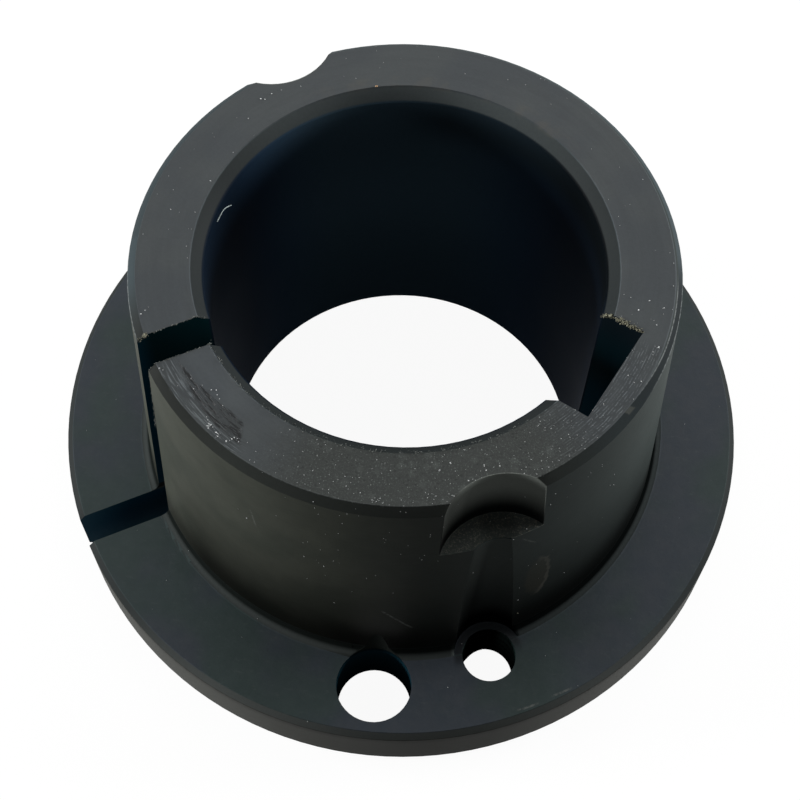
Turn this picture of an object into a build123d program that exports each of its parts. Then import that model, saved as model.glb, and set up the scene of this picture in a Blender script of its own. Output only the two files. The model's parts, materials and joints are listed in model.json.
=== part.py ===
# Split taper bush with a drilled flange, in millimetres, +Z up.
# Origin on the bore axis at the flat back of the flange; the barrel rises to
# the nose at the small end of the taper.  The plain screw holes sit on the Y axis.
import math
import os

from build123d import *

NODE = "taper_bush"

# bore and keyway
bore_diameter = 34.925
keyway_width = 9.525
keyway_side_depth = 3.9
keyway_angle = -27.3
bore_nose_chamfer = 1.1
bore_back_chamfer = 0.55

# barrel: wall left at the nose, taper per side, height of nose above the back face
nose_wall = 6.41
taper_half_angle = 3.5
overall_length = 36.0
nose_chamfer = 0.7

# flange: how far it stands out from the foot of the barrel
flange_thickness = 6.75
flange_overhang = 8.34
flange_front_chamfer = 0.6
flange_back_chamfer = 0.4
foot_fillet = 1.0

# saw cut through one side of the barrel and flange
slot_width = 2.9
slot_angle = -151.7

# plain holes for the clamping screws, measured in from the flange edge
screw_hole_count = 2
screw_hole_diameter = 7.1
screw_hole_edge_margin = 1.5
screw_hole_angle = -90.0

# threaded jacking holes (drawn at the thread's core) beside the foot of the barrel,
# one a step round from the front screw hole and one a step round from the back one
jack_core_diameter = 5.1
jack_hole_stand_off = 1.5
jack_hole_front_step = 23.0
jack_hole_back_step = 32.1

# tool clearance above each jacking hole: a drill run down the barrel and a
# flat-bottomed pocket at the nose, all on the jacking hole's own axis
relief_extra = 1.5
relief_stop_above_flange = 1.5
relief_point_angle = 118.0
pocket_diameter = 11.25
pocket_depth = 7.9

# lengths worked out from the sizes above
over = 1.0
bore_radius = bore_diameter / 2
nose_radius = bore_radius + nose_wall
barrel_length = overall_length - flange_thickness
foot_radius = nose_radius + barrel_length * math.tan(math.radians(taper_half_angle))
flange_radius = foot_radius + flange_overhang
screw_circle_radius = flange_radius - screw_hole_edge_margin - screw_hole_diameter / 2
jack_circle_radius = foot_radius + jack_hole_stand_off
jack_hole_angles = [
    screw_hole_angle + jack_hole_front_step,
    screw_hole_angle + 180.0 + jack_hole_back_step,
]
relief_diameter = jack_core_diameter + relief_extra
relief_floor = flange_thickness + relief_stop_above_flange
pocket_floor = overall_length - pocket_depth
keyway_corner_height = math.sqrt(bore_radius**2 - (keyway_width / 2) ** 2)
keyway_floor = keyway_corner_height + keyway_side_depth


def on_circle(radius, angle, height=0.0):
    turn = math.radians(angle)
    return (radius * math.cos(turn), radius * math.sin(turn), height)


def spaced(count, first_angle):
    return [first_angle + 360.0 * step / count for step in range(count)]


def upright(diameter, bottom, top, radius, angle):
    rod = Cylinder(diameter / 2, top - bottom, align=(Align.CENTER, Align.CENTER, Align.MIN))
    return Pos(*on_circle(radius, angle, bottom)) * rod


def radial_block(width, near, far, bottom, top, angle):
    block = Box(far - near, width, top - bottom, align=(Align.MIN, Align.CENTER, Align.MIN))
    return Rot(0, 0, angle) * Pos(near, 0, bottom) * block


def turned_blank():
    outline = Polyline(
        (0, 0),
        (flange_radius, 0),
        (flange_radius, flange_thickness),
        (foot_radius, flange_thickness),
        (nose_radius, overall_length),
        (0, overall_length),
        close=True,
    )
    blank = revolve(Plane.XZ * make_face(outline), Axis.Z)
    rims = blank.edges().filter_by(GeomType.CIRCLE)
    foot = [rim for rim in rims if abs(rim.radius - foot_radius) < 0.01]
    nose = [rim for rim in rims if abs(rim.radius - nose_radius) < 0.01]
    blank = fillet(foot, foot_fillet)
    blank = chamfer(blank.edges().filter_by(GeomType.CIRCLE).sort_by(Axis.Z)[-1], nose_chamfer)
    flange_rims = [
        rim
        for rim in blank.edges().filter_by(GeomType.CIRCLE)
        if abs(rim.radius - flange_radius) < 0.01
    ]
    flange_rims.sort(key=lambda rim: rim.center().Z)
    blank = chamfer(flange_rims[0], flange_back_chamfer)
    front = [
        rim
        for rim in blank.edges().filter_by(GeomType.CIRCLE)
        if abs(rim.radius - flange_radius) < 0.01 and abs(rim.center().Z - flange_thickness) < 0.01
    ]
    return chamfer(front, flange_front_chamfer)


def bore_cutter():
    outline = Polyline(
        (0, -over),
        (bore_radius + bore_back_chamfer + over, -over),
        (bore_radius, bore_back_chamfer),
        (bore_radius, overall_length - bore_nose_chamfer),
        (bore_radius + bore_nose_chamfer + over, overall_length + over),
        (0, overall_length + over),
        close=True,
    )
    return revolve(Plane.XZ * make_face(outline), Axis.Z)


def relief_cutter(angle):
    radius = relief_diameter / 2
    point = radius / math.tan(math.radians(relief_point_angle / 2))
    outline = Polyline(
        (0, relief_floor - point),
        (radius, relief_floor),
        (radius, overall_length + over),
        (0, overall_length + over),
        close=True,
    )
    drill = revolve(Plane.XZ * make_face(outline), Axis.Z)
    return Pos(*on_circle(jack_circle_radius, angle)) * drill


top = overall_length + over
cutters = [
    bore_cutter(),
    radial_block(keyway_width, 0, keyway_floor, -over, top, keyway_angle),
    radial_block(slot_width, 0, flange_radius + over, -over, top, slot_angle),
]
for angle in spaced(screw_hole_count, screw_hole_angle):
    cutters.append(upright(screw_hole_diameter, -over, top, screw_circle_radius, angle))
for angle in jack_hole_angles:
    cutters.append(upright(jack_core_diameter, -over, top, jack_circle_radius, angle))
    cutters.append(relief_cutter(angle))
    cutters.append(upright(pocket_diameter, pocket_floor, top, jack_circle_radius, angle))

bush = turned_blank()
for cutter in cutters:
    bush = bush - cutter
bush = bush.solids().sort_by(SortBy.VOLUME)[-1]
bush.label = NODE

os.makedirs("parts", exist_ok=True)
export_step(bush, f"parts/{NODE}.step")
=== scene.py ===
import json
import math

import bmesh
import bpy
from mathutils import Matrix, Vector


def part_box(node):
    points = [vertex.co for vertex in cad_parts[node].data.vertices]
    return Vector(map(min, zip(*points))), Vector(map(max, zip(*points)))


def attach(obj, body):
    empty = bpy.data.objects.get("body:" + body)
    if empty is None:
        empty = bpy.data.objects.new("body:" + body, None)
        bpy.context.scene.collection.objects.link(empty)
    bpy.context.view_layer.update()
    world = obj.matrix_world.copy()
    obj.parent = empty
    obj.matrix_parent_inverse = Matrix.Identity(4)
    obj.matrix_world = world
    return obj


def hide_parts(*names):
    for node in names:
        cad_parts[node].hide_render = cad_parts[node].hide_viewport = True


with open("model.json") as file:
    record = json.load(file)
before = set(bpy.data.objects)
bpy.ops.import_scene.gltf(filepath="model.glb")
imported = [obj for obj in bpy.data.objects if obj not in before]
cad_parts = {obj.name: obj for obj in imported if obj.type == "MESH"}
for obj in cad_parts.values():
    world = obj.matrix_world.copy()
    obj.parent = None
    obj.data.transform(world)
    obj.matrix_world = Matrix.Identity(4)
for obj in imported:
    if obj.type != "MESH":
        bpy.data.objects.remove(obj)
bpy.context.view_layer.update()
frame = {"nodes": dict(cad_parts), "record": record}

MM = 0.001

# ---- sizes of the bush, in millimetres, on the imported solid's own axes -------------------------
low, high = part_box("taper_bush")
FLANGE_RADIUS = (high[0] - low[0]) / 2 / MM
LENGTH = high[2] / MM
mounts = {m["name"]: m for m in frame["record"]["mounts"]}
BORE_RADIUS = mounts["shaft_bore"]["dims"]["r_mm"]
JACK_CORE_RADIUS = mounts["jack_thread_front"]["dims"]["r_mm"]
JACK_HOLES = [Vector(mounts[n]["pos_m"]) / MM for n in ("jack_thread_front", "jack_thread_back")]
SCREW_HOLE_RADIUS = mounts["clamping_screws"]["dims"]["hole_r_mm"]
SCREW_CIRCLE = mounts["clamping_screws"]["dims"]["pcd_mm"] / 2
FLANGE_THICKNESS = 6.75
NOSE_WALL = 6.41
NOSE_CHAMFER = 0.7
BORE_CHAMFER = 1.1
FOOT_FILLET = 1.0
TAPER_ANGLE = math.radians(3.5)
TAPER = math.tan(TAPER_ANGLE)
NOSE_RADIUS = BORE_RADIUS + NOSE_WALL
FOOT_RADIUS = NOSE_RADIUS + (LENGTH - FLANGE_THICKNESS) * TAPER
MOUTH_RADIUS = BORE_RADIUS + BORE_CHAMFER
MOUTH_FOOT = LENGTH - BORE_CHAMFER
NOSE_EDGE_RADIUS = NOSE_RADIUS - NOSE_CHAMFER
NOSE_EDGE_FOOT = LENGTH - NOSE_CHAMFER
KEYWAY_ANGLE, KEYWAY_WIDTH, KEYWAY_DEPTH = -27.3, 9.525, 3.9
KEYWAY_FLOOR = math.sqrt(BORE_RADIUS ** 2 - (KEYWAY_WIDTH / 2) ** 2) + KEYWAY_DEPTH
SLOT_ANGLE, SLOT_WIDTH = -151.7, 2.9
POCKET_RADIUS, POCKET_FLOOR = 5.625, LENGTH - 7.9
RELIEF_RADIUS = 3.3

# thread of the jacking holes, whose tap starts below the flange and ends just under its top
THREAD_PITCH, THREAD_RADIUS, THREAD_FLANK = 1.27, 3.175, math.radians(30)
THREAD_OVERLAP = 0.1
TAP_START, TAP_TURNS = -2.585, 6.9

# the drill runs stop 1.5 above the flange in the solid, and are taken down from there to a land on it
LAND_CLEARANCE, LAND_HEIGHT = 0.02, 1.55

# how the solid's mesh is joined and softened: doubles, flat faces, edge width, and the angles that count
JOIN_WITHIN, FLAT_WITHIN = 0.002, math.radians(0.4)
SOFT_EDGE, SOFT_FROM = 0.07, math.radians(25)
SMOOTH_UP_TO = math.radians(30)

# how near a surface a face's corners lie to be on it, and how far its normal points up or outwards
ON_WALL, ON_TAPER, ON_RIM = 0.03, 0.12, 0.04
TILTED, LEVEL, OUTWARDS = 0.3, 0.98, 0.75


# ---- node trees written as sums ----------------------------------------------------------------
class Wire:
    """One socket of a node tree, with arithmetic."""

    def __init__(self, tree, socket):
        self.tree = tree
        self.socket = socket

    def maths(self, operation, *others):
        return self.tree.add("ShaderNodeMath", {"operation": operation}, dict(enumerate((self,) + others)))

    def flipped(self, operation, other):
        return self.tree.add("ShaderNodeMath", {"operation": operation}, {0: other, 1: self})

    def __add__(self, other): return self.maths("ADD", other)
    def __radd__(self, other): return self.maths("ADD", other)
    def __sub__(self, other): return self.maths("SUBTRACT", other)
    def __rsub__(self, other): return self.flipped("SUBTRACT", other)
    def __mul__(self, other): return self.maths("MULTIPLY", other)
    def __rmul__(self, other): return self.maths("MULTIPLY", other)
    def __truediv__(self, other): return self.maths("DIVIDE", other)
    def __rtruediv__(self, other): return self.flipped("DIVIDE", other)
    def __abs__(self): return self.maths("ABSOLUTE")
    def root(self): return self.maths("SQRT")
    def least(self, other): return self.maths("MINIMUM", other)
    def most(self, other): return self.maths("MAXIMUM", other)

    def rise(self, start, end):
        """0 below start, 1 above end, smooth between."""
        return self.tree.ease(self, start, end, 0.0, 1.0)

    def fall(self, start, end):
        """1 below start, 0 above end, smooth between."""
        return self.tree.ease(self, start, end, 1.0, 0.0)

    def band(self, middle, half, soft):
        """1 within half of middle, fading to 0 over soft."""
        return abs(self - middle).fall(half, half + soft)


class NodeTree:
    """A tree of nodes, each added by its type, its settings and what goes into its sockets."""

    def add(self, kind, settings, values, out=0):
        node = self.tree.nodes.new(kind)
        for name, value in settings.items():
            setattr(node, name, value)
        for name, value in values.items():
            socket = node.inputs[name]
            if isinstance(value, Wire):
                self.tree.links.new(value.socket, socket)
            else:
                socket.default_value = value
        return Wire(self, node.outputs[out])

    def ease(self, value, start, end, low, high):
        return self.add("ShaderNodeMapRange", {"interpolation_type": "SMOOTHSTEP"}, {
            "Value": value, "From Min": start, "From Max": end, "To Min": low, "To Max": high})

    def axes(self, place):
        return [self.add("ShaderNodeSeparateXYZ", {}, {0: place}, out=i) for i in range(3)]

    def point(self, x, y, z):
        return self.add("ShaderNodeCombineXYZ", {}, {0: x, 1: y, 2: z})

    def scaled(self, vector, amount):
        vector = vector[:3] if isinstance(vector, tuple) else vector
        return self.add("ShaderNodeVectorMath", {"operation": "SCALE"}, {0: vector, "Scale": amount})

    def round_the_bore(self, place):
        """Distance out from the bore axis, angle round it in degrees, and height."""
        x, y, z = self.axes(place)
        return (x * x + y * y).root(), y.maths("ARCTAN2", x) * (180 / math.pi), z

    def in_sight(self):
        """1 for rays that are seen, straight, mirrored or through glass, 0 for those that only light."""
        rays = self.tree.nodes.new("ShaderNodeLightPath").outputs
        straight, mirrored, through = (
            Wire(self, rays[f"Is {kind} Ray"]) for kind in ("Camera", "Glossy", "Transmission"))
        return straight.most(mirrored).most(through)


class Finish(NodeTree):
    """A material."""

    def __init__(self, name):
        self.material = bpy.data.materials.new(name)
        self.material.use_nodes = True
        self.tree = self.material.node_tree
        self.tree.nodes.clear()
        self.output = self.tree.nodes.new("ShaderNodeOutputMaterial")
        self.place = self.scaled(self.add("ShaderNodeTexCoord", {}, {}, out="Object"), 1 / MM)

    def grain(self, place, scale, detail=3.0, roughness=0.55):
        return self.add("ShaderNodeTexNoise", {"noise_dimensions": "3D"}, {
            "Vector": place, "Scale": scale, "Detail": detail, "Roughness": roughness})

    def specks(self, scale, size, share):
        """Small round flecks, in a share of the cells of a grid of that scale."""
        values = {"Vector": self.place, "Scale": scale, "Randomness": 1.0}
        near = self.add("ShaderNodeTexVoronoi", {"feature": "F1"}, values, out="Distance")
        pick = self.add("ShaderNodeTexVoronoi", {"feature": "F1"}, values, out="Color")
        red, green, _ = self.axes(pick)
        return near.fall(size * 0.4, size) * red.fall(share, share + 0.01) * (0.4 + 0.6 * green)

    def mark(self, across, along, start, end, width):
        """A short line of that width from start to end, on a surface laid flat in millimetres."""
        step_x, step_y = end[0] - start[0], end[1] - start[1]
        length = math.hypot(step_x, step_y)
        step_x, step_y = step_x / length, step_y / length
        out = abs((across - start[0]) * step_y - (along - start[1]) * step_x)
        run = (across - start[0]) * step_x + (along - start[1]) * step_y
        return out.fall(width * 0.4, width) * run.rise(-0.3, 0.3) * run.fall(length - 0.3, length + 0.3)

    def blend(self, factor, first, second):
        """From the first colour to the second as factor goes from 0 to 1."""
        return self.add("ShaderNodeMix", {"data_type": "RGBA"}, {0: factor, 6: first, 7: second}, out=2)

    def bumped(self, height):
        """Normals that follow a height in millimetres."""
        return self.add("ShaderNodeBump", {}, {"Strength": 1.0, "Distance": MM, "Height": height})

    def close(self, shader):
        self.tree.links.new(shader.socket, self.output.inputs["Surface"])
        return self.material


class Recipe(NodeTree):
    """A geometry tree with named inputs, which turns one mesh into another."""

    ANY_TURN = (6.28, 6.28, 6.28)

    def __init__(self, name, inputs):
        self.tree = bpy.data.node_groups.new(name, "GeometryNodeTree")
        self.tree.interface.new_socket("Geometry", in_out="INPUT", socket_type="NodeSocketGeometry")
        self.sockets = {}
        for label, kind in inputs.items():
            socket = self.tree.interface.new_socket(label, in_out="INPUT", socket_type="NodeSocket" + kind)
            self.sockets[label] = socket.identifier
        self.tree.interface.new_socket("Geometry", in_out="OUTPUT", socket_type="NodeSocketGeometry")
        self.source = self.tree.nodes.new("NodeGroupInput")

    def given(self, label):
        return Wire(self, self.source.outputs[label])

    def spot(self):
        """Where each point is, in millimetres."""
        return self.scaled(self.add("GeometryNodeInputPosition", {}, {}), 1 / MM)

    def random_vector(self, least, most, seed):
        return self.add("FunctionNodeRandomValue", {"data_type": "FLOAT_VECTOR"}, {
            0: least, 1: most, "Seed": seed})

    def strewn(self, points, seed, smallest, largest, clumping=None, roundness=1):
        """A grain at each point, turned any way and of any size between the smallest and the largest."""
        turned = self.random_vector((0, 0, 0), self.ANY_TURN, seed)
        sizes = self.random_vector(smallest, largest, seed + 1)
        if clumping is not None:
            sizes = self.scaled(sizes, clumping)
        grain = self.add("GeometryNodeMeshIcoSphere", {}, {"Radius": 1.0, "Subdivisions": roundness})
        return self.close(self.add("GeometryNodeInstanceOnPoints", {}, {
            "Points": points, "Instance": grain, "Rotation": turned,
            "Scale": self.scaled(sizes, self.given("Size"))}))

    def close(self, geometry):
        whole = self.add("GeometryNodeRealizeInstances", {}, {0: geometry})
        coated = self.add("GeometryNodeSetMaterial", {}, {
            "Geometry": whole, "Material": self.given("Finish")})
        output = self.tree.nodes.new("NodeGroupOutput")
        self.tree.links.new(coated.socket, output.inputs[0])
        return self

    def make(self, name, mesh, values):
        """A plain mesh made by this tree from another one."""
        source = placed(name + "_source", mesh)
        step = source.modifiers.new("recipe", "NODES")
        step.node_group = self.tree
        for label, value in values.items():
            step[self.sockets[label]] = value
        made = flattened(source)
        bpy.data.objects.remove(source)
        return placed(name, made)


class Sky(NodeTree):
    """The nodes of the world round the bush."""

    def __init__(self, name):
        world = bpy.data.worlds.new(name)
        bpy.context.scene.world = world
        world.use_nodes = True
        self.tree = world.node_tree
        self.tree.nodes.clear()
        self.output = self.tree.nodes.new("ShaderNodeOutputWorld")


def placed(name, data):
    """A new object in the scene."""
    piece = bpy.data.objects.new(name, data)
    bpy.context.collection.objects.link(piece)
    return piece


def flattened(piece):
    """The mesh that a piece's modifiers make."""
    depsgraph = bpy.context.evaluated_depsgraph_get()
    depsgraph.update()
    return bpy.data.meshes.new_from_object(piece.evaluated_get(depsgraph), depsgraph=depsgraph)


def paint(red, green, blue):
    return (red, green, blue, 1.0)


def on_bush(radius, angle, height):
    a = math.radians(angle)
    return Vector((radius * math.cos(a), radius * math.sin(a), height)) * MM


def beside(angle, out, across, height):
    """A point at a distance out along a direction from the bore axis, and across it to the left."""
    a = math.radians(angle)
    x = out * math.cos(a) - across * math.sin(a)
    y = out * math.sin(a) + across * math.cos(a)
    return Vector((x, y, height)) * MM


# ---- finishes ----------------------------------------------------------------------------------
# colours of the bush, by where they show; several carry painted light and shade, as said where they are used
SHADE = {name: paint(*levels) for name, levels in dict(
    black_green=(0.0205, 0.0310, 0.0305), black_blue=(0.0235, 0.0298, 0.0372),
    grey_green=(0.0240, 0.0350, 0.0345), grey_blue=(0.0285, 0.0338, 0.0405),
    flange_rub=(0.050, 0.058, 0.058), scratch=(0.085, 0.090, 0.085),
    flange_edge_sides=(0.0150, 0.0175, 0.0175), flange_edge_front=(0.041, 0.0450, 0.0435),
    flange_rim=(0.032, 0.033, 0.0300),
    barrel_olive=(0.0252, 0.0281, 0.0232), barrel_pale_olive=(0.0307, 0.0333, 0.0275),
    barrel_right=(0.0240, 0.0293, 0.0281), stain=(0.030, 0.027, 0.020), tide=(0.060, 0.058, 0.050),
    foot_root_left=(0.0048, 0.0060, 0.0056), foot_root_right=(0.0014, 0.0018, 0.0018),
    foot_left=(0.0340, 0.0390, 0.0380), foot_right=(0.0230, 0.0270, 0.0270),
    nose=(0.0465, 0.0535, 0.0580), nose_pale=(0.0530, 0.0600, 0.0622), nose_dull=(0.038, 0.0425, 0.0400),
    nose_edge_left=(0.0150, 0.0168, 0.0155), nose_edge_right=(0.0135, 0.0175, 0.0190),
    nose_edge_by_slot=(0.0150, 0.0200, 0.0220), nose_lip=(0.045, 0.048, 0.044), rubbed=(0.105, 0.115, 0.115),
    mouth=(0.0215, 0.0250, 0.0255), bloom=(0.098, 0.088, 0.068),
    pocket_low=(0.0008, 0.001, 0.001), pocket_high=(0.073, 0.080, 0.073),
    ledge=(0.043, 0.050, 0.047), ledge_powder=(0.115, 0.112, 0.094),
    run_low=(0.0130, 0.0150, 0.0150), run_high=(0.0560, 0.0640, 0.0610), run_foot=(0.0006, 0.0007, 0.0008),
    thread_lit=(0.0200, 0.0330, 0.0310),
    keyway_low=(0.0010, 0.0260, 0.0430), keyway_middle=(0.0012, 0.0090, 0.0125),
    keyway_high=(0.0020, 0.0040, 0.0056),
    slot_inner=(0.0012, 0.0090, 0.0110), slot_middle=(0.0028, 0.0240, 0.0400),
    slot_outer=(0.0280, 0.0680, 0.0950),
    screw_hole=(0.0050, 0.0200, 0.0290), screw_notch=(0.0115, 0.0135, 0.0126),
    bore_front=(0.0058, 0.0130, 0.0250), bore_back=(0.0070, 0.0124, 0.0170),
    bore_right_top=(0.0027, 0.0046, 0.0062),
).items()}

# a degree of arc, in millimetres
ON_BARREL, ON_FLANGE = 0.43, 0.58

# marks: angle and height on the barrel, or angle and radius on the flange, from and to, width, strength
BARREL_MARKS = [
    ((-89.0, 16.4), (-82.9, 12.9), 0.16, 0.5),
    ((-60.5, 27.0), (-57.5, 25.2), 0.12, 0.4),
    ((-117.0, 29.0), (-116.0, 26.5), 0.12, 0.4)]
FLANGE_MARKS = [
    ((-65.7, 33.06), (-62.2, 33.10), 0.13, 0.8),
    ((-59.2, 33.02), (-56.2, 33.15), 0.13, 0.9)]


class BushSteel(Finish):
    """Steel turned all over and blackened: a grey turned nose, darker flange and barrel, and black inside,
    which is partly painted shade.
    """

    def __init__(self, name, inner):
        super().__init__(name)
        self.inner = inner
        self.x, self.y, self.z = self.axes(self.place)
        self.r, self.turn, _ = self.round_the_bore(self.place)
        self.find_faces()
        self.find_nose_edges()
        self.find_jack_holes()
        self.grow_grain()
        self.cut_rings()
        self.tear_nose()

    def drawn_round(self, out, stretch):
        """A place laid flat, on which a pattern runs round the bore: less stretch draws it out more."""
        return self.point(out, self.turn * stretch, 0.0)

    # where on the bush a point lies: 1 there, 0 elsewhere
    def find_faces(self):
        r, z = self.r, self.z
        self.face = z.rise(LENGTH - 0.14, LENGTH - 0.05)
        # front of the nose: painted shade darkens it, and dust and small pits lie thickest there
        self.front = self.turn.rise(-122, -104) * self.turn.fall(-56, -36)
        self.in_bore = r.fall(BORE_RADIUS + 0.05, BORE_RADIUS + 0.2)
        self.mouth = r.fall(MOUTH_RADIUS - 0.1, MOUTH_RADIUS + 0.05) * z.rise(
            MOUTH_FOOT - 0.1, MOUTH_FOOT) * (1 - self.face)
        self.flange_top = z.band(FLANGE_THICKNESS, 0.05, 0.1)
        self.flange_edge = z.band(FLANGE_THICKNESS - 0.3, 0.25, 0.1) * r.rise(
            FLANGE_RADIUS - 0.65, FLANGE_RADIUS - 0.5)
        self.rim = r.rise(FLANGE_RADIUS - 0.08, FLANGE_RADIUS - 0.03)
        above = z.rise(FLANGE_THICKNESS + 0.3, FLANGE_THICKNESS + 1.2)
        self.wall = above * (1 - self.face) * r.rise(22.6, 22.9)
        screw_y = abs(self.y) - SCREW_CIRCLE
        self.screw_off = (self.x * self.x + screw_y * screw_y).root()
        foot_start = FLANGE_THICKNESS - 0.15 if self.inner else FLANGE_THICKNESS + 0.03
        foot_end = FLANGE_THICKNESS + FOOT_FILLET
        self.foot = z.rise(foot_start, foot_start + 0.09) * z.fall(foot_end + 0.05, foot_end + 0.15) * (
            r.band(FOOT_RADIUS + 0.3, 1.0, 0.2)) * (
            self.screw_off.rise(SCREW_HOLE_RADIUS + 0.01, SCREW_HOLE_RADIUS + 0.06))

    def find_nose_edges(self):
        """The nose chamfer, narrower on the right and back, and the bright lines along its edges: partly
        wear, partly painted highlights.
        """
        z, turn = self.z, self.turn
        narrowed = 0.26 * turn.rise(-34, -14) * turn.fall(110, 125)
        self.corner = self.r - narrowed - NOSE_EDGE_RADIUS
        self.nose_edge = z.rise(NOSE_EDGE_FOOT - 0.05, NOSE_EDGE_FOOT + 0.05) * self.corner.rise(-0.01, 0.04)
        right_outside = turn.rise(-30, -18) * turn.fall(-3, 6)
        past_slot = turn.fall(-158, -154) * turn.rise(-179, -172)
        right_inside = turn.rise(-34, -20) * turn.fall(-5, 3)
        front_inside = 0.35 * turn.rise(-142, -120) * turn.fall(-90, -75)
        outer = z.band(NOSE_EDGE_FOOT, 0.03, 0.06) * self.r.rise(23.7, 23.8) * right_outside.most(past_slot)
        inner = z.rise(LENGTH - 0.5, LENGTH - 0.4) * self.corner.band(0.0, 0.02, 0.05) * (
            right_inside.most(front_inside))
        self.rubbed = outer.most(inner)

    def find_jack_holes(self):
        """The pocket, its ledge, the drill run and the land of each jacking hole, and how far a point lies
        across the line from the bore axis to the hole."""
        x, y, z = self.x, self.y, self.z
        self.pocket, self.ledge, self.relief, self.land, self.across = 0, 0, 0, 0, 0
        for hole in JACK_HOLES:
            off = ((x - hole.x) * (x - hole.x) + (y - hole.y) * (y - hole.y)).root()
            circle = math.hypot(hole.x, hole.y)
            across = (y - hole.y) * (hole.x / circle) - (x - hole.x) * (hole.y / circle)
            in_pocket = off.fall(POCKET_RADIUS + 0.02, POCKET_RADIUS + 0.10) * z.rise(
                POCKET_FLOOR - 0.1, POCKET_FLOOR)
            on_ledge = off.fall(POCKET_RADIUS, POCKET_RADIUS + 0.1) * z.band(POCKET_FLOOR, 0.05, 0.1)
            past_fillet = 1 - self.foot * off.rise(RELIEF_RADIUS + 0.03, RELIEF_RADIUS + 0.06)
            in_run = off.fall(RELIEF_RADIUS + 0.05, RELIEF_RADIUS + 0.3) * z.fall(
                POCKET_FLOOR - 0.2, POCKET_FLOOR) * past_fillet
            self.across = across * off.fall(7, 8) + self.across
            self.land = off.fall(RELIEF_RADIUS - 0.25, RELIEF_RADIUS + 0.30) + self.land
            self.pocket = in_pocket + self.pocket
            self.ledge = on_ledge + self.ledge
            self.relief = in_run + self.relief

    # patterns in the surface
    def grow_grain(self):
        """Grain of the black finish, slow patches, dust and pits, and the tool's rings and hoops."""
        self.fine = self.grain(self.place, 3.2, 4.0, 0.65)
        self.coarse = self.grain(self.place, 0.16, 2.0, 0.5)
        self.mottled = self.grain(self.place, 0.7, 3.0, 0.6)
        self.patches = self.grain(self.place, 0.11, 2.0, 0.55).rise(0.38, 0.62)
        self.powder = self.grain(self.place, 6.0, 3.0, 0.8).rise(0.50, 0.68)
        self.wander = 0.9 * (self.grain(self.place, 1.3, 3.0, 0.6) - 0.5)
        self.pits = self.specks(2.6, 0.42, 0.55)
        self.glints = self.specks(4.6, 0.36, 0.42)
        self.smudges = self.specks(1.0, 0.50, 0.62)
        self.rings = self.grain(self.drawn_round(self.r, 0.03), 4.2, 3.0, 0.75)
        self.wide_rings = self.grain(self.drawn_round(self.r, 0.03), 1.0, 2.0, 0.6)
        self.hoops = self.grain(self.drawn_round(self.z, 0.03), 4.5, 3.0, 0.7)

    def cut_rings(self):
        """Fine rings cut bright beside the keyway and the slot."""
        r, turn = self.r, self.turn
        by_keyway = turn.rise(-56, -44) * turn.fall(-20, -15) * r.fall(23.0, 23.2)
        by_slot = turn.rise(-151, -149) * turn.fall(-123, -119) * r.rise(21.5, 21.9)
        self.patchy = self.grain(self.drawn_round(r, 0.06), 1.6, 2.0, 0.5).rise(0.40, 0.56)
        wavy = self.grain(self.drawn_round(r, 0.10), 1.2, 3.0, 0.6)
        arcs = (r * 27.0 + wavy * 9.0).maths("SINE").rise(0.1, 0.9)
        dashes = arcs * self.grain(self.drawn_round(r * 1.6, 0.30), 1.9, 3.0, 0.75).rise(0.44, 0.58)
        long_lines = self.grain(self.drawn_round(r, 0.022), 6.0, 3.0, 0.7).rise(0.50, 0.60)
        self.lines = self.ease(by_slot, 0, 1, 0, 1) * (long_lines - dashes) + dashes
        self.lined = self.face * by_keyway.most(by_slot)

    def tear_nose(self):
        """The torn patch by the slot, where the tool dug in, and the gouges in it."""
        r, turn = self.r, self.turn
        streaks = self.grain(self.drawn_round(r, 0.030), 5.0, 3.0, 0.7)
        torn_half = 0.12 + 0.75 * turn.rise(-148, -127)
        torn_end = (turn + 2.0 * self.wander - 1.8 * (r - 21.5)).fall(-123.6, -122.6)
        self.torn = self.face * turn.rise(-149, -143) * torn_end * (
            (abs(r + 0.6 * self.wander - 21.45) - torn_half).fall(-0.12, 0.10))
        self.gouges = self.torn * streaks.fall(0.44, 0.51)

    # colours, from the flange inwards, each laid over the one before
    def flange_colour(self):
        turn = self.turn
        black = self.blend(self.patches, SHADE["black_green"], SHADE["black_blue"])
        grey_black = self.blend(self.patches, SHADE["grey_green"], SHADE["grey_blue"])
        colour = self.blend(self.mottled.rise(0.3, 0.75), black, grey_black)
        rubs = self.grain(self.point(self.x, self.y * 2.2, 0.0), 0.75, 4.0, 0.75).rise(0.56, 0.72)
        colour = self.blend(rubs * 0.30 * self.flange_top, colour, SHADE["flange_rub"])
        # painted light and shade: the flange lighter on the sides and back, darker across the front and by
        # the front jacking hole
        painted_shade_front = 0.22 * turn.rise(-125, -105) * turn.fall(-50, -35)
        colour = self.scaled(colour, 1.22 - painted_shade_front - 0.13 * turn.band(-72, 9, 8))
        # painted shade on the land round each jacking hole, near the barrel's foot
        painted_shade_on_land = 0.72 * self.land * self.flange_top * self.r.fall(FOOT_RADIUS + 0.8, FOOT_RADIUS + 2.4)
        return self.scaled(colour, 1 - painted_shade_on_land)

    def barrel_colour(self):
        z, turn = self.z, self.turn
        olive = self.blend(self.coarse.rise(0.35, 0.65), SHADE["barrel_olive"], SHADE["barrel_pale_olive"])
        colour = self.blend(turn.rise(-105, -55), olive, SHADE["barrel_right"])
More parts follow.
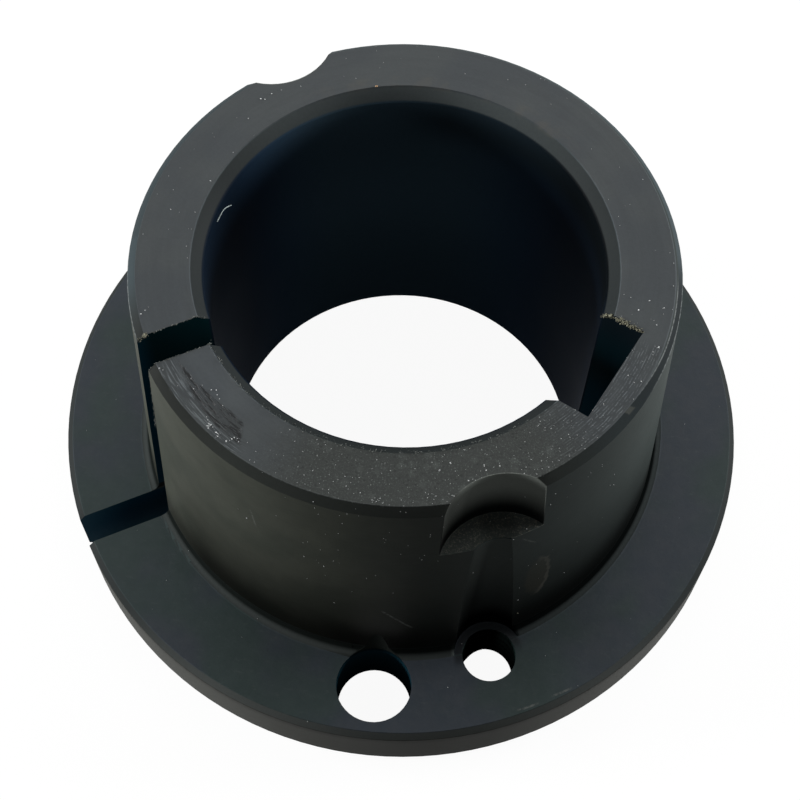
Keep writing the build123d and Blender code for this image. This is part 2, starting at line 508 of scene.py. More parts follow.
        # painted shade: the barrel darker towards its foot, across its front and right, and most of all at
        # the front of the foot
        shade = 1 - 0.74 * z.fall(9.0, 27.5) * turn.rise(-149, -130) * turn.fall(-26, -4)
        shade = shade * (1 - z.fall(8.6, 15.0) * (0.62 + 0.16 * turn.rise(-90, -50)))
        shade = shade * (1 - 0.30 * turn.rise(-100, -72) * turn.fall(-50, -18))
        shade = shade * (1 - 0.45 * turn.band(-90, 6, 10) * z.fall(10, 14.5))
        shade = shade * (1 - 0.42 * turn.band(-90.3, 4.2, 2.0) * z.fall(8.5, 11.5))
        return self.scaled(colour, shade * (1 + 0.22 * (self.hoops - 0.5) + 0.25 * (self.mottled - 0.5)))

    def with_nose(self, colour):
        turn = self.turn
        nose = self.blend(self.coarse.rise(0.35, 0.65), SHADE["nose"], SHADE["nose_pale"])
        paler_by_slot = 0.18 * turn.fall(-132, -122) * self.r.fall(20.5, 21.0) * turn.rise(-160, -150)
        colour = self.blend(self.face, colour, self.scaled(nose, 1 + paler_by_slot))
        # painted shade: the front of the nose darker and less blue
        return self.blend(self.face * self.front, colour, SHADE["nose_dull"])

    def with_nose_edge(self, colour):
        turn = self.turn
        edge = self.blend(turn.rise(-60, -25), SHADE["nose_edge_left"], SHADE["nose_edge_right"])
        edge = self.blend(turn.fall(-170, -152), edge, SHADE["nose_edge_by_slot"])
        # painted light and shade: the chamfer kept dark, darker still at the front left and right front,
        # lighter from the right round the back and past the slot
        shade = 1.25 - 0.50 * turn.band(-146, 6, 20) - 0.45 * turn.band(-15, 10, 14)
        shade = shade + 1.30 * turn.rise(-2, 8) * turn.fall(115, 130)
        shade = shade + 0.65 * turn.rise(115, 130) + 0.65 * turn.fall(-172, -158)
        colour = self.blend(self.nose_edge, colour, self.scaled(edge, shade))
        lip_place = (turn + 0.8 * self.wander - 2.2 * self.corner).band(-33.3, 0.8, 0.4)
        lip = self.nose_edge * lip_place * self.corner.fall(0.30, 0.42)
        return self.blend(lip * 0.8, colour, SHADE["nose_lip"])

    def with_foot(self, colour):
        """The fillet at the foot of the barrel, in painted shade: black in its root, grey above, darker on
        the right.
        """
        right = self.turn.rise(-95, -55)
        root = self.blend(right, SHADE["foot_root_left"], SHADE["foot_root_right"])
        upper = self.blend(right, SHADE["foot_left"], SHADE["foot_right"])
        low = self.z.fall(FLANGE_THICKNESS + 0.03, FLANGE_THICKNESS + 0.45 - 0.10 * right)
        return self.blend(self.foot, colour, self.blend(low, root, upper))

    def with_flange_rim(self, colour):
        # painted light and shade: the flange chamfer lighter at the front and darker at the sides, the rim
        # lighter at the front and darker near its top
        front = self.turn.rise(-140, -115) * self.turn.fall(-55, -25)
        edge = self.blend(front, SHADE["flange_edge_sides"], SHADE["flange_edge_front"])
        rim = self.scaled(SHADE["flange_rim"], (1 + 0.35 * front) * (1 - 0.34 * self.z.rise(4.9, 6.0)))
        return self.blend(self.rim, self.blend(self.flange_edge, colour, edge), rim)

    def with_mouth(self, colour):
        # painted light: the mouth chamfer lighter on the far side
        shade = 0.82 + 1.75 * self.turn.rise(20, 85) * self.turn.fall(112, 160)
        return self.blend(self.mouth, colour, self.scaled(SHADE["mouth"], shade))

    def with_pockets(self, colour):
        # painted light and shade: the pocket wall black at its foot and pale at its top, darker on one side
        # of each hole and towards the front left
        high = self.z.rise(POCKET_FLOOR + 1.1, LENGTH - 1.8)
        wall = self.blend(high, SHADE["pocket_low"], SHADE["pocket_high"])
        right_or_back = self.turn.rise(-80, -70).most(self.turn.rise(0, 1))
        shade = (0.5 + 0.5 * right_or_back) * (0.44 + 1.16 * self.across.rise(-3.7, -0.9))
        colour = self.blend(self.pocket, colour, self.scaled(wall, shade))
        ledge = self.blend(self.powder, SHADE["ledge"], SHADE["ledge_powder"])
        return self.blend(self.ledge, colour, self.scaled(ledge, 1 - 0.35 * self.across.band(1.0, 0.8, 1.2)))

    def jack_colour(self):
        """The drill run beside the barrel and the thread below, in painted light and shade: black at its
        foot, paler higher up, darker on one side, and the flanks of the thread lighter where lit.
        """
        z = self.z
        colour = self.blend(z.rise(9, 25), SHADE["run_low"], SHADE["run_high"])
        colour = self.scaled(colour, 0.20 + 0.80 * self.across.rise(-2.3, 0.5))
        colour = self.blend(z.fall(8.6, 12.4), colour, SHADE["run_foot"])
        lit = abs(self.across).rise(1.3, 2.3) * z.fall(FLANGE_THICKNESS, FLANGE_THICKNESS + 0.1)
        return self.blend(lit, colour, SHADE["thread_lit"])

    def with_inside(self, colour):
        """The walls of the keyway, slot, screw holes and jacking holes."""
        r, z = self.r, self.z
        # painted light and shade: the keyway wall paler low down and darker near the top, the slot paler
        # towards its open outer end
        keyway = self.blend(z.rise(20, 27), SHADE["keyway_low"], SHADE["keyway_middle"])
        keyway = self.blend(z.rise(28, 35), keyway, SHADE["keyway_high"])
        slot = self.blend(r.rise(22.5, 24.5), SHADE["slot_inner"], SHADE["slot_middle"])
        slot = self.blend(r.rise(28.5, 34.5), slot, SHADE["slot_outer"])
        walls = self.blend(self.turn.rise(-100, -80), slot, keyway)
        at_screw = self.screw_off.fall(SCREW_HOLE_RADIUS + 0.02, SCREW_HOLE_RADIUS + 0.1)
        # painted shade: the screw hole darker towards the top of the flange
        screw_shade = 1 - 0.65 * z.rise(FLANGE_THICKNESS - 0.7, FLANGE_THICKNESS - 0.05)
        walls = self.blend(at_screw, walls, self.scaled(SHADE["screw_hole"], screw_shade))
        # the bite of the screw hole in the barrel's foot, painted lighter so that it shows like the barrel
        # beside it
        notch = at_screw * z.rise(FLANGE_THICKNESS + 0.02, FLANGE_THICKNESS + 0.1)
        walls = self.blend(notch, self.blend(self.foot, walls, colour), SHADE["screw_notch"])
        return self.blend(self.relief, walls, self.jack_colour())

    def with_bore(self, colour):
        z, turn = self.z, self.turn
        # painted light and shade: the bore paler on its far side and lower down, and darker high up on the
        # right
        far_side = turn.rise(30, 85) * turn.fall(115, 160)
        bore = self.blend(far_side, SHADE["bore_front"], SHADE["bore_back"])
        top_painted_dark = z.rise(28, 33) * turn.rise(-20, 0) * turn.fall(80, 105)
        bore = self.blend(top_painted_dark, bore, SHADE["bore_right_top"])
        shade = (0.42 + 3.3 * far_side) * (1 + 1.1 * z.fall(16, 31))
        return self.blend(self.in_bore, colour, self.scaled(bore, shade))

    def with_patterns(self, colour):
        dull = self.face * self.front
        speckle = 1.2 * self.glints + 0.55 * self.powder + 0.40 * self.smudges - 0.25 * self.pits - 0.18
        gain = 0.82 + 0.26 * self.fine + 0.10 * self.coarse
        gain = gain * (1 + self.face * (0.20 * (self.rings - 0.5) + 0.25 * (self.wide_rings - 0.5)))
        gain = gain * (1 + self.lined * (self.lines * (0.45 + 0.9 * self.patchy) - 0.12 * self.patchy - 0.10))
        gain = gain * (1 + dull * speckle) * (1 - 0.72 * self.gouges) * (1 - 0.32 * self.torn)
        colour = self.scaled(colour, gain.most(0.05))
        # wear and painted highlights: bright lines along the nose chamfer's edges
        return self.blend(self.rubbed * (0.25 + 0.75 * self.fine.rise(0.35, 0.6)), colour, SHADE["rubbed"])

    def with_bloom(self, colour):
        """A faint brown bloom on the back of the bore's mouth."""
        turn = self.turn
        cloudy = self.grain(self.place, 0.45, 3.0, 0.6).rise(0.45, 0.7)
        bloom = cloudy * turn.rise(35, 55) * turn.fall(112, 128) * (
            self.r.band(18.9, 0.4, 0.6)) * self.z.rise(LENGTH - 0.3, LENGTH - 0.1)
        return self.blend(bloom * 0.22, colour, SHADE["bloom"])

    def with_water_mark(self, colour):
        """A long ring with a darker middle, dried on the front of the barrel."""
        off_x = (self.turn + 56.0) * 0.44 + 1.2 * self.wander
        off_z = self.z - 17.5 + 1.5 * self.wander
        off = ((off_x * off_x) * 2.0 + (off_z * off_z) * 0.22).root()
        stain = self.wall * off.fall(1.2, 2.0)
        tide = self.wall * off.band(1.75, 0.10, 0.25) * off_x.rise(-0.3, 0.6)
        return self.blend(tide * 0.30, self.blend(stain * 0.22, colour, SHADE["stain"]), SHADE["tide"])

    def with_marks(self, colour):
        """Light scratches on the barrel, and streaks by the flange's edge."""
        marks = 0
        for where, along, degree, strokes in (
                (self.wall, self.z, ON_BARREL, BARREL_MARKS),
                (self.flange_top, self.r, ON_FLANGE, FLANGE_MARKS)):
            for (first, start), (last, end), width, strength in strokes:
                line = self.mark(
                    self.turn * degree, along, (first * degree, start), (last * degree, end), width)
                marks = marks + where * line * strength
        return self.blend((marks * self.fine.rise(0.3, 0.6)).least(1.0), colour, SHADE["scratch"])

    def roughness(self, matt):
        rough = matt + 0.14 * (self.fine - 0.5) + 0.10 * (self.coarse - 0.5)
        rough = rough + self.face * 0.10 * (self.rings - 0.5)
        return rough + 0.32 * self.wall * self.turn.band(-90, 8, 6) * self.z.fall(9, 13)

    def height(self):
        """The relief of the surface, in millimetres."""
        height = 0.008 * self.fine + self.face * 0.004 * self.rings + self.flange_top * 0.003 * self.rings
        height = height + self.wall * 0.004 * self.hoops
        height = height + self.lined * 0.008 * self.lines - self.gouges * 0.035
        height = height + self.ledge * 0.02 * self.powder
        height = height + self.face * self.front * (0.008 * self.powder - 0.012 * self.pits)
        return height + self.in_bore * 0.004 * self.hoops


def blackened_steel(name, sheen, matt, inner=False):
    f = BushSteel(name, inner)
    colour = f.blend(f.wall, f.flange_colour(), f.barrel_colour())
    colour = f.with_nose_edge(f.with_nose(colour))
    colour = f.with_flange_rim(f.with_foot(colour))
    colour = f.with_pockets(f.with_mouth(colour))
    if inner:
        colour = f.with_inside(colour)
    colour = f.with_patterns(f.with_bore(colour))
    colour = f.with_marks(f.with_water_mark(f.with_bloom(colour)))
    shader = f.add("ShaderNodeBsdfPrincipled", {}, {
        "Base Color": colour, "Roughness": f.roughness(matt), "Normal": f.bumped(f.height()),
        "Metallic": 0.0, "IOR": 1.5, "Specular IOR Level": sheen})
    return f.close(shader)


def crumbs(name, dark, light, rough=0.7):
    """Rough little grains that differ in shade from one to the next."""
    f = Finish(name)
    patch = f.grain(f.place, 5.0, 3.0, 0.7)
    shader = f.add("ShaderNodeBsdfPrincipled", {}, {
        "Base Color": f.blend(patch.rise(0.35, 0.65), paint(*dark), paint(*light)),
        "Roughness": rough + 0.2 * (patch - 0.5), "Normal": f.bumped(0.02 * patch),
        "Specular IOR Level": 0.3})
    return f.close(shader)


FINISHES = {
    "flat": blackened_steel("steel_nose_and_flange", 0.16, 0.46),
    "wall": blackened_steel("steel_barrel_and_rim", 0.010, 0.50),
    "inside": blackened_steel("steel_bore_and_slots", 0.006, 0.66, inner=True),
    "hole": blackened_steel("steel_holes", 0.0, 0.66, inner=True)}
pale_dust = crumbs("pale_dust", (0.22, 0.23, 0.23), (0.50, 0.52, 0.52))
tan_burr = crumbs("tan_burr", (0.026, 0.026, 0.016), (0.205, 0.200, 0.138), 0.5)
grey_frays = crumbs("grey_frays", (0.030, 0.034, 0.031), (0.11, 0.12, 0.11), 0.6)
orange_speck = crumbs("orange_speck", (0.30, 0.16, 0.07), (0.52, 0.36, 0.22))
lint = crumbs("lint", (0.20, 0.24, 0.24), (0.34, 0.38, 0.37), 0.8)


# ---- the bush ----------------------------------------------------------------------------------
def screw_tap():
    """A helical ridge that cuts the thread of a jacking hole."""
    recipe = Recipe("screw_tap", {
        "Middle Radius": "Float", "Depth": "Float", "Root Width": "Float", "Crest Width": "Float",
        "Pitch": "Float", "Turns": "Float", "Finish": "Material"})
    radius, turns, depth = recipe.given("Middle Radius"), recipe.given("Turns"), recipe.given("Depth")
    helix = recipe.add("GeometryNodeCurveSpiral", {}, {
        "Resolution": 40, "Rotations": turns, "Start Radius": radius, "End Radius": radius,
        "Height": turns * recipe.given("Pitch"), "Reverse": True})
    helix = recipe.add("GeometryNodeSetCurveNormal", {"mode": "Z_UP"}, {0: helix})
    wide, narrow = recipe.given("Root Width") * 0.5, recipe.given("Crest Width") * 0.5
    near, far = depth * -0.5, depth * 0.5
    tooth = recipe.add("GeometryNodeCurvePrimitiveQuadrilateral", {"mode": "POINTS"}, {
        "Point 1": recipe.point(near, 0 - wide, 0.0), "Point 2": recipe.point(far, 0 - narrow, 0.0),
        "Point 3": recipe.point(far, narrow, 0.0), "Point 4": recipe.point(near, wide, 0.0)})
    return recipe.close(recipe.add("GeometryNodeCurveToMesh", {}, {0: helix, 1: tooth, "Fill Caps": True}))


def merged_copy(source, name):
    """A plain copy of a solid with its loose triangles joined and flat faces made whole."""
    mesh = source.data.copy()
    work = bmesh.new()
    work.from_mesh(mesh)
    bmesh.ops.remove_doubles(work, verts=work.verts, dist=JOIN_WITHIN * MM)
    bmesh.ops.dissolve_limit(work, angle_limit=FLAT_WITHIN, verts=work.verts, edges=work.edges)
    work.to_mesh(mesh)
    work.free()
    mesh.materials.clear()
    return placed(name, mesh)


def settled(piece):
    """Makes a piece's modifiers part of its mesh."""
    made = flattened(piece)
    piece.modifiers.clear()
    old = piece.data
    piece.data = made
    bpy.data.meshes.remove(old)


def softened(piece):
    """Rounds a piece's sharp edges a little."""
    soften = piece.modifiers.new("soften", "BEVEL")
    soften.width = SOFT_EDGE * MM
    soften.segments = 2
    soften.limit_method = "ANGLE"
    soften.angle_limit = SOFT_FROM
    soften.use_clamp_overlap = True
    settled(piece)


def cut_away(piece, cutter):
    cut = piece.modifiers.new("cut", "BOOLEAN")
    cut.operation, cut.solver, cut.object = "DIFFERENCE", "EXACT", cutter
    settled(piece)
    bpy.data.objects.remove(cutter)


def landed(piece):
    """Takes each drill run beside the barrel down to the flange, which leaves a flat land round its hole."""
    bottom, top = FLANGE_THICKNESS + LAND_CLEARANCE, FLANGE_THICKNESS + LAND_HEIGHT
    radius = (RELIEF_RADIUS + LAND_CLEARANCE) * MM
    for hole in JACK_HOLES:
        work = bmesh.new()
        middle = Vector((hole.x, hole.y, (bottom + top) / 2)) * MM
        bmesh.ops.create_cone(
            work, cap_ends=True, segments=120, radius1=radius, radius2=radius, depth=(top - bottom) * MM,
            matrix=Matrix.Translation(middle))
        mesh = bpy.data.meshes.new("land")
        work.to_mesh(mesh)
        work.free()
        cut_away(piece, placed("land", mesh))


def threaded(piece, tap_recipe):
    """Cuts the jacking threads into a piece."""
    depth = THREAD_RADIUS - JACK_CORE_RADIUS + THREAD_OVERLAP
    crest = THREAD_PITCH / 8
    root = crest + 2 * depth * math.tan(THREAD_FLANK)
    for hole in JACK_HOLES:
        tap = tap_recipe.make("tap", bpy.data.meshes.new("tap_base"), {
            "Middle Radius": (THREAD_RADIUS - depth / 2) * MM, "Depth": depth * MM,
            "Root Width": root * MM, "Crest Width": crest * MM,
            "Pitch": THREAD_PITCH * MM, "Turns": TAP_TURNS})
        tap.data.transform(Matrix.Translation((hole.x * MM, hole.y * MM, TAP_START * MM)))
        cut_away(piece, tap)


# the upright round walls inside the bush: axis, radius and finish
ROUND_WALLS = [(0.0, 0.0, BORE_RADIUS, "inside")]
for hole in JACK_HOLES:
    ROUND_WALLS += [(hole.x, hole.y, POCKET_RADIUS, "wall"), (hole.x, hole.y, RELIEF_RADIUS, "hole")]
for side in (-1, 1):
    ROUND_WALLS.append((0.0, side * SCREW_CIRCLE, SCREW_HOLE_RADIUS, "hole"))


def surface_of(face, mesh):
    """The finish of a face, and what its true normals follow: a round hole's axis, the barrel or nothing."""
    corners = [mesh.vertices[mesh.loops[i].vertex_index].co / MM for i in face.loop_indices]
    centre = face.center / MM
    outwards = Vector((centre.x, centre.y, 0)).normalized()
    from_screw_wall = math.hypot(centre.x, abs(centre.y) - SCREW_CIRCLE) - SCREW_HOLE_RADIUS
    from_jack_axis = min(math.hypot(centre.x - hole.x, centre.y - hole.y) for hole in JACK_HOLES)
    in_screw_hole = abs(from_screw_wall) < 0.2 and centre.z < FLANGE_THICKNESS + 0.1
    in_jack_hole = from_jack_axis < RELIEF_RADIUS + 0.1 and centre.z < POCKET_FLOOR - 1
    at_foot = FLANGE_THICKNESS < centre.z < FLANGE_THICKNESS + FOOT_FILLET
    if abs(face.normal.z) > TILTED:
        level = abs(face.normal.z) > LEVEL and not FLANGE_THICKNESS + 0.1 < centre.z < LENGTH - 0.1
        return ("flat" if level else "hole" if at_foot or in_jack_hole else "wall"), None
    for x, y, radius, finish in ROUND_WALLS:
        if all(abs(math.hypot(c.x - x, c.y - y) - radius) < ON_WALL for c in corners):
            return finish, (x, y)
    if in_screw_hole or in_jack_hole or at_foot:
        return "hole", None
    if all(abs(math.hypot(c.x, c.y) - (NOSE_RADIUS + (LENGTH - c.z) * TAPER)) < ON_TAPER for c in corners):
        return "wall", "barrel"
    if all(math.hypot(c.x, c.y) > FLANGE_RADIUS - ON_RIM for c in corners):
        return "wall", "rim"
    return ("wall" if face.normal.dot(outwards) > OUTWARDS else "inside"), None


def true_normal(point, follows):
    """The normal of the round surface that a face follows, at a point in millimetres."""
    if follows in ("barrel", "rim"):
        lean = TAPER_ANGLE if follows == "barrel" else 0.0
        return Vector((point.x, point.y, 0)).normalized() * math.cos(lean) + Vector((0, 0, math.sin(lean)))
    return Vector((follows[0] - point.x, follows[1] - point.y, 0)).normalized()


def dressed(piece, finishes):
    """Finishes a piece face by face, with true normals on its round walls, so that no facet shows."""
    mesh = piece.data
    for face in mesh.polygons:
        face.use_smooth = True
    mesh.set_sharp_from_angle(angle=SMOOTH_UP_TO)
    normals = [Vector(n.vector) for n in mesh.corner_normals]
    mesh.materials.clear()
    for finish in finishes.values():
        mesh.materials.append(finish)
    for face in mesh.polygons:
        kind, follows = surface_of(face, mesh)
        face.material_index = list(finishes).index(kind)
        for i in face.loop_indices:
            if follows is not None:
                normals[i] = true_normal(mesh.vertices[mesh.loops[i].vertex_index].co / MM, follows)
            elif abs(face.normal.z) > LEVEL:
                normals[i] = face.normal.copy()
    mesh.normals_split_custom_set(normals)


bush = merged_copy(frame["nodes"]["taper_bush"], "taper_bush_dressed")
softened(bush)
landed(bush)
threaded(bush, screw_tap())
dressed(bush, FINISHES)


# ---- burrs, dust and lint ----------------------------------------------------------------------
def line_of_crumbs():
    """Crumbs strewn along an edge: a torn burr."""
    recipe = Recipe("line_of_crumbs", {
        "Count": "Int", "Spread": "Float", "Size": "Float", "Seed": "Int", "Finish": "Material"})
    seed = recipe.given("Seed")
    path = recipe.add("GeometryNodeMeshToCurve", {}, {0: recipe.given("Geometry")})
    points = recipe.add("GeometryNodeCurveToPoints", {"mode": "COUNT"}, {
        0: path, "Count": recipe.given("Count")})
    stray = recipe.random_vector((-1, -1, -1), (1, 1, 1), seed)
    points = recipe.add("GeometryNodeSetPosition", {}, {
        "Geometry": points, "Offset": recipe.scaled(stray, recipe.given("Spread"))})
    clumps = recipe.add("ShaderNodeTexNoise", {"noise_dimensions": "3D"}, {
        "Vector": recipe.spot(), "Scale": 1.7, "Detail": 2.0})
    clumping = 0.25 + 1.6 * clumps.rise(0.36, 0.62)
    return recipe.strewn(points, seed + 1, (0.35, 0.3, 0.3), (1.3, 0.8, 0.7), clumping)


def scattered_dust():
    """Dust over the bush: thick on the nose's front, thin on the rest of the nose, flange and barrel."""
    recipe = Recipe("scattered_dust", {
        "Density": "Float", "Size": "Float", "Seed": "Int", "Finish": "Material"})
    seed = recipe.given("Seed")
    points = recipe.add("GeometryNodeDistributePointsOnFaces", {"distribute_method": "RANDOM"}, {
        "Mesh": recipe.given("Geometry"), "Density": recipe.given("Density"), "Seed": seed})
    r, turn, z = recipe.round_the_bore(recipe.spot())
    face = z.rise(LENGTH - 0.02, LENGTH - 0.01)
    front = turn.rise(-125, -100) * turn.fall(-48, -30)
    near_keyway = turn.rise(-45, -35) * turn.fall(-15, 0)
    wall = z.rise(FLANGE_THICKNESS + 1.5, LENGTH) * r.rise(22, 22.5)
    flange = z.fall(FLANGE_THICKNESS + 0.2, FLANGE_THICKNESS + 0.4) * z.rise(
        FLANGE_THICKNESS - 0.2, FLANGE_THICKNESS)
    on_nose = 0.050 + front * (0.30 + 0.45 * r.rise(20.0, 23.0)) + 0.12 * near_keyway
    share = face * on_nose + (1 - face) * (0.045 * wall * front + 0.006 * flange)
    chance = recipe.add("FunctionNodeRandomValue", {"data_type": "FLOAT"}, {
        2: 0.0, 3: 1.0, "Seed": seed + 1}, out=1)
    points = recipe.add("GeometryNodeDeleteGeometry", {"domain": "POINT"}, {
        0: points, 1: chance.maths("GREATER_THAN", share)})
    return recipe.strewn(points, seed + 2, (0.3, 0.25, 0.2), (1.2, 0.8, 0.6))


def placed_specks():
    """One crumb at each point of a mesh."""
    recipe = Recipe("placed_specks", {"Size": "Float", "Seed": "Int", "Finish": "Material"})
    return recipe.strewn(
        recipe.given("Geometry"), recipe.given("Seed"), (0.7, 0.4, 0.4), (1.5, 1.0, 0.8), roundness=2)


def point_mesh(points, joined=False):
    """A mesh of points only, or of points joined in a row."""
    mesh = bpy.data.meshes.new("points")
    mesh.from_pydata(points, [(i, i + 1) for i in range(len(points) - 1)] if joined else [], [])
    return mesh


def by_keyway(radius, height):
    """A point on the keyway's far edge, where it meets a round of that radius."""
    return beside(KEYWAY_ANGLE, math.sqrt(radius ** 2 - (KEYWAY_WIDTH / 2) ** 2), KEYWAY_WIDTH / 2, height)


def near_slot(out, height):
    return beside(SLOT_ANGLE, out, SLOT_WIDTH / 2, height)


def far_slot(out, height):
    return beside(SLOT_ANGLE, out, -SLOT_WIDTH / 2, height)


dust = scattered_dust().make("dust", bush.data.copy(), {
    "Density": 3.6e6, "Size": 0.060 * MM, "Seed": 7, "Finish": pale_dust})
shown = [bush, dust]

# burrs and frays: name, edge, number of crumbs, how far they stray, their size, seed, finish
EDGE_CRUMBS = [
    ("keyway_burr", [
        by_keyway(BORE_RADIUS, MOUTH_FOOT), by_keyway(MOUTH_RADIUS, LENGTH - 0.12),
        beside(KEYWAY_ANGLE, KEYWAY_FLOOR, KEYWAY_WIDTH / 2, LENGTH - 0.12)], 380, 0.15, 0.082, 3, tan_burr),
    ("slot_burr", [
        far_slot(22.9, LENGTH), far_slot(23.2, LENGTH - 0.03), far_slot(23.7, LENGTH - 0.55)],
        40, 0.15, 0.085, 5, tan_burr),
    ("slot_frays", [
        near_slot(18.4, LENGTH), near_slot(23.2, LENGTH), near_slot(23.8, LENGTH - 0.65),
        near_slot(24.6, LENGTH - 11)], 160, 0.05, 0.045, 11, grey_frays),
    ("slot_far_frays", [
        far_slot(17.6, LENGTH - 0.9), far_slot(18.5, LENGTH), far_slot(22.6, LENGTH)],
        90, 0.06, 0.05, 12, grey_frays),
    ("bore_mouth_frays", [
        on_bush(MOUTH_RADIUS - 0.12, a, LENGTH - 0.10) for a in range(-148, -48, 4)],
        680, 0.17, 0.044, 13, grey_frays),
    ("torn_end_frays", [
        on_bush(r, a, LENGTH) for r, a in (
            (22.55, -131.5), (22.85, -127.5), (22.6, -124.5), (22.1, -122.6))],
        42, 0.20, 0.060, 17, pale_dust)]
burr_recipe = line_of_crumbs()
for name, edge, count, stray, size, seed, finish in EDGE_CRUMBS:
    shown.append(burr_recipe.make(name, point_mesh(edge, joined=True), {
        "Count": count, "Spread": stray * MM, "Size": size * MM, "Seed": seed, "Finish": finish}))

# single specks on the nose and barrel: distance out, angle, height
BIG_SPECKS = [
    (23.0, -160.5, LENGTH), (23.1, -146.7, LENGTH), (20.5, -136.0, LENGTH), (22.1, -123.7, LENGTH),
    (22.3, -123.9, LENGTH), (21.5, -71.3, LENGTH), (22.85, -17.0, LENGTH), (25.23, -60.0, 13.8)]
SMALL_SPECKS = [(r, a, LENGTH) for r, a in (
    (22.6, -161.2), (20.2, -135.2), (20.4, -134.1), (21.6, -138.6), (22.9, -126.5), (23.0, -1.4),
    (20.35, -9.1), (22.55, -18.5), (21.6, -26.3), (22.8, -26.1), (22.4, -7.2), (21.1, -6.0),
    (22.1, -11.8), (19.5, -6.0), (20.2, -77.1), (22.4, -78.7), (22.6, -75.0), (21.0, -66.9),
    (19.7, -74.3), (20.6, -67.0), (21.0, -63.7), (21.4, 133.0), (21.1, 132.3), (20.4, 139.1),
    (20.7, 122.6), (21.3, 130.0), (18.9, 160.5))]
SMALL_SPECKS += [(NOSE_RADIUS + (LENGTH - z) * TAPER, a, z) for a, z in (
    (-55.0, 31.4), (-70.8, 23.4), (-118.0, 27.0), (-101.0, 24.0), (-38.0, 26.0))]
SPECKS = [
    ("big_specks", BIG_SPECKS, 0.090, pale_dust),
    ("small_specks", SMALL_SPECKS, 0.070, pale_dust),
    ("tan_speck", [(25.43, -59.7, 10.6)], 0.09, tan_burr),
    ("orange_speck", [(18.62, 103.3, LENGTH)], 0.15, orange_speck)]
speck_recipe = placed_specks()
for name, places, size, finish in SPECKS:
    shown.append(speck_recipe.make(name, point_mesh([on_bush(*place) for place in places]), {
        "Size": size * MM, "Seed": 31, "Finish": finish}))


def lint_thread(name, points, thickness, finish):
    """One loose fibre lying on a wall."""
    curve = bpy.data.curves.new(name, "CURVE")
    curve.dimensions = "3D"
    spline = curve.splines.new("NURBS")
    spline.points.add(len(points) - 1)
    for knot, point in zip(spline.points, points):
        knot.co = (*point, 1)
    spline.order_u = 4
    spline.use_endpoint_u = True
    curve.bevel_depth = thickness / 2
    curve.bevel_resolution = 1
    curve.use_fill_caps = True
    source = placed(name + "_source", curve)
    piece = placed(name, flattened(source))
    bpy.data.objects.remove(source)
    piece.data.materials.clear()
    piece.data.materials.append(finish)
    return piece


shown.append(lint_thread("lint_in_bore", [on_bush(BORE_RADIUS - 0.04, a, z) for a, z in (
    (168.1, 33.7), (165.2, 33.75), (163.1, 33.6), (161.3, 33.2), (159.0, 32.5))], 0.10 * MM, lint))

for piece in shown:
    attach(piece, "root")
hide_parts("taper_bush")


# ---- floor, camera, light ----------------------------------------------------------------------
FLOOR_REACH, FLOOR_DROP = 6.0, 0.00002

# camera: turned to the right of the front, lifted and rolled, in degrees; distances in flange radii
CAMERA_TURN, CAMERA_LIFT, CAMERA_ROLL = 3.931, 64.326, 1.292
CAMERA_DISTANCE = 4.9699
CAMERA_AIM = (-0.006, 0, 0.2716)
CAMERA_LENS, CAMERA_SENSOR = 71.69, 36.0

# soft lamps: angle round the bush and lift, in degrees, distance, width, height, power
LAMPS = {
    "lamp_left": (180, 9, 0.80, 0.50, 0.20, 15.5),
    "lamp_right": (22, 9, 0.80, 0.50, 0.20, 14.0),
    "lamp_back": (92, 52, 0.50, 0.45, 0.30, 0.6)}
LAMP_AIM = (0, 0, 0.02)


def pale_floor():
    """White to the eye, but it throws back only a little light."""
    f = Finish("pale_floor")
    matt = f.add("ShaderNodeBsdfDiffuse", {}, {"Color": paint(0.08, 0.08, 0.08)})
    white = f.add("ShaderNodeEmission", {}, {"Color": paint(0.94, 0.94, 0.94), "Strength": 1.0})
    dark = f.add("ShaderNodeEmission", {}, {"Color": paint(0, 0, 0), "Strength": 0.0})
    glow = f.add("ShaderNodeMixShader", {}, {0: f.in_sight(), 1: dark, 2: white})
    return f.close(f.add("ShaderNodeAddShader", {}, {0: matt, 1: glow}))


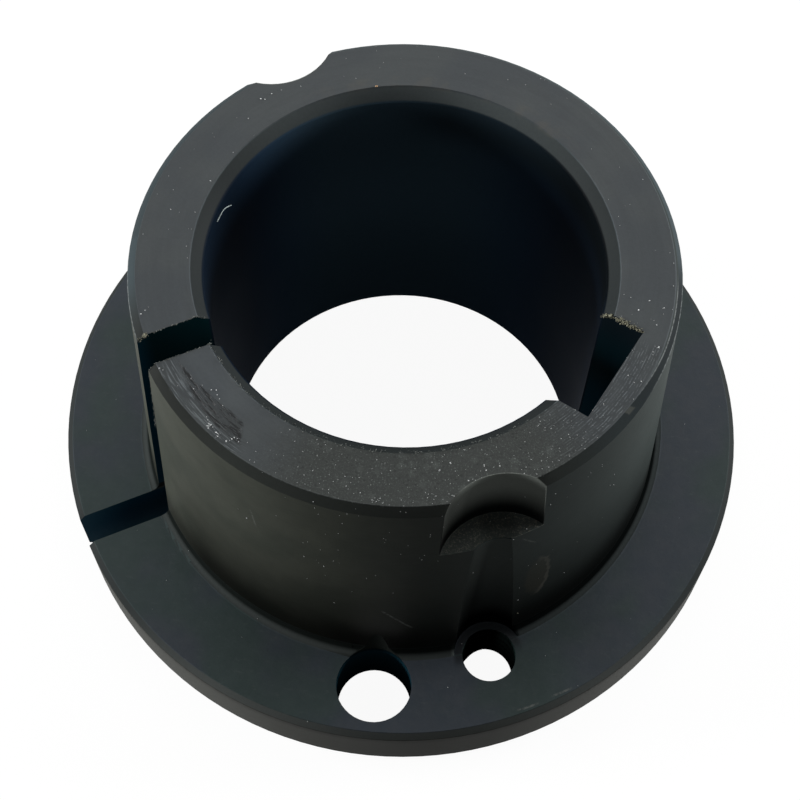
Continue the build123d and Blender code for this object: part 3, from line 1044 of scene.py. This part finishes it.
floor_mesh = bpy.data.meshes.new("floor")
corners = [(x * FLOOR_REACH, y * FLOOR_REACH, 0) for x, y in ((-1, -1), (1, -1), (1, 1), (-1, 1))]
floor_mesh.from_pydata(corners, [], [(0, 1, 2, 3)])
floor_mesh.materials.append(pale_floor())
floor = placed("floor", floor_mesh)
floor.location.z = -FLOOR_DROP


def aimed(piece, position, target, roll=0.0):
    away = (Vector(target) - Vector(position)).normalized()
    right = away.cross(Vector((0, 0, 1))).normalized()
    up = right.cross(away)
    c, s = math.cos(roll), math.sin(roll)
    turn = Matrix((c * right + s * up, c * up - s * right, -away)).transposed()
    piece.matrix_world = Matrix.Translation(position) @ turn.to_4x4()


unit = FLANGE_RADIUS * MM
sight_turn = Matrix.Rotation(math.radians(CAMERA_TURN), 3, "Z")
sight_lift, sight_distance = math.radians(CAMERA_LIFT), CAMERA_DISTANCE * unit
eye = Vector((0, -sight_distance * math.cos(sight_lift), sight_distance * math.sin(sight_lift)))
camera_data = bpy.data.cameras.new("camera")
camera_data.lens = CAMERA_LENS
camera_data.sensor_width = CAMERA_SENSOR
camera_data.clip_start, camera_data.clip_end = 0.01, 20
camera = placed("camera", camera_data)
aimed(camera, sight_turn @ eye, sight_turn @ (unit * Vector(CAMERA_AIM)), math.radians(CAMERA_ROLL))
bpy.context.scene.camera = camera

for name, (angle, lift, distance, width, height, power) in LAMPS.items():
    a, e = math.radians(angle), math.radians(lift)
    data = bpy.data.lights.new(name, "AREA")
    data.shape = "RECTANGLE"
    data.size, data.size_y = width, height
    data.energy = power
    towards = Vector((math.cos(a) * math.cos(e), math.sin(a) * math.cos(e), math.sin(e)))
    aimed(placed(name, data), distance * towards, LAMP_AIM)

sky = Sky("studio")
backdrop = sky.add("ShaderNodeBackground", {}, {
    "Color": paint(1, 1, 1), "Strength": sky.ease(sky.in_sight(), 0, 1, 0.25, 1.0)})
sky.tree.links.new(backdrop.socket, sky.output.inputs["Surface"])

bpy.context.scene.view_settings.view_transform = "Standard"
